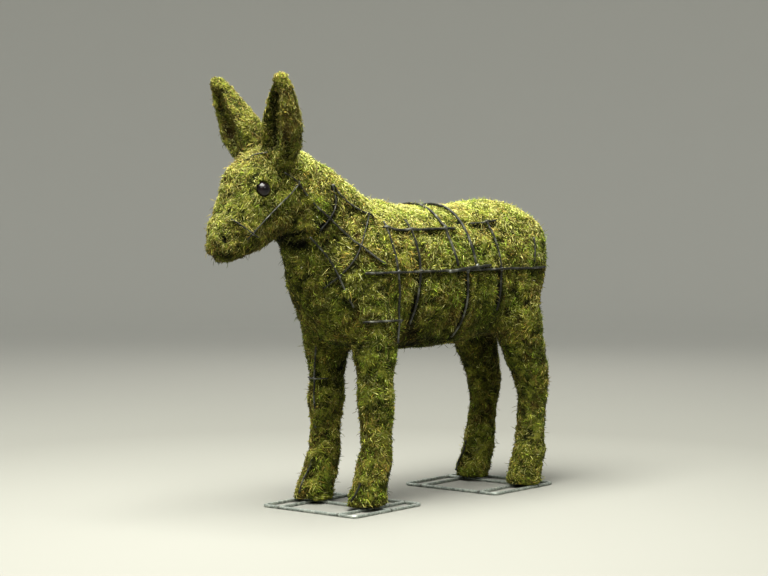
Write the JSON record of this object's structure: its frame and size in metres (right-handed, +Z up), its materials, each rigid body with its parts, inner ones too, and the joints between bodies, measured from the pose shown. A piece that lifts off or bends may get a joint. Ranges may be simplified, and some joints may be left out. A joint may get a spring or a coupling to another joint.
{
  "type": "mossed donkey topiary",
  "caption": "Life-size standing donkey foal of moss packed on a cage of bent steel rods, with glass eyes, on bar frames that lie on the ground",
  "frame": {"origin": "on the ground under the middle of the whole animal's bounding box", "axes": "+Z up; the donkey looks towards -Y; its left side is +X; the YZ plane is its middle plane"},
  "size_m": [0.3528, 1.137, 1.0721],
  "materials": {
    "moss": "packed sphagnum moss, matt, yellow-green on top and browner below",
    "eye": "polished black glass",
    "ground_bar": "weathered galvanised round bar",
    "cage_rod": "dark weathered steel rod with a dull sheen"
  },
  "bodies": {
    "root": {"moss_body": "moss", "eye_left": "eye", "eye_right": "eye", "front_ground_frame": "ground_bar", "rear_ground_frame": "ground_bar", "saddle_hoop_front": "cage_rod", "saddle_hoop_rear": "cage_rod", "saddle_bar_left": "cage_rod", "saddle_bar_right": "cage_rod", "flank_rail_left": "cage_rod", "flank_rail_right": "cage_rod", "back_rail_left": "cage_rod", "back_rail_right": "cage_rod", "croup_rail_left": "cage_rod", "croup_rail_right": "cage_rod", "shoulder_rib_left": "cage_rod", "shoulder_rib_right": "cage_rod", "girth_rib_left": "cage_rod", "girth_rib_right": "cage_rod", "belly_rib_left": "cage_rod", "belly_rib_right": "cage_rod", "loin_rib_left": "cage_rod", "loin_rib_right": "cage_rod", "croup_rib_left": "cage_rod", "croup_rib_right": "cage_rod", "upper_neck_ring_left": "cage_rod", "upper_neck_ring_right": "cage_rod", "lower_neck_ring_left": "cage_rod", "lower_neck_ring_right": "cage_rod", "crest_rail_left": "cage_rod", "crest_rail_right": "cage_rod", "neck_rail_left": "cage_rod", "neck_rail_right": "cage_rod", "throat_rail_left": "cage_rod", "throat_rail_right": "cage_rod", "cheek_wire_left": "cage_rod", "cheek_wire_right": "cage_rod", "nose_wire": "cage_rod", "brow_wire": "cage_rod", "shoulder_bar_left": "cage_rod", "shoulder_bar_right": "cage_rod", "fore_shin_rod_right": "cage_rod", "fore_tie_wire_right": "cage_rod", "fore_hoof_rod_left": "cage_rod", "fore_hoof_rod_right": "cage_rod", "hind_hoof_rod_right": "cage_rod"}
  },
  "joints": []
}
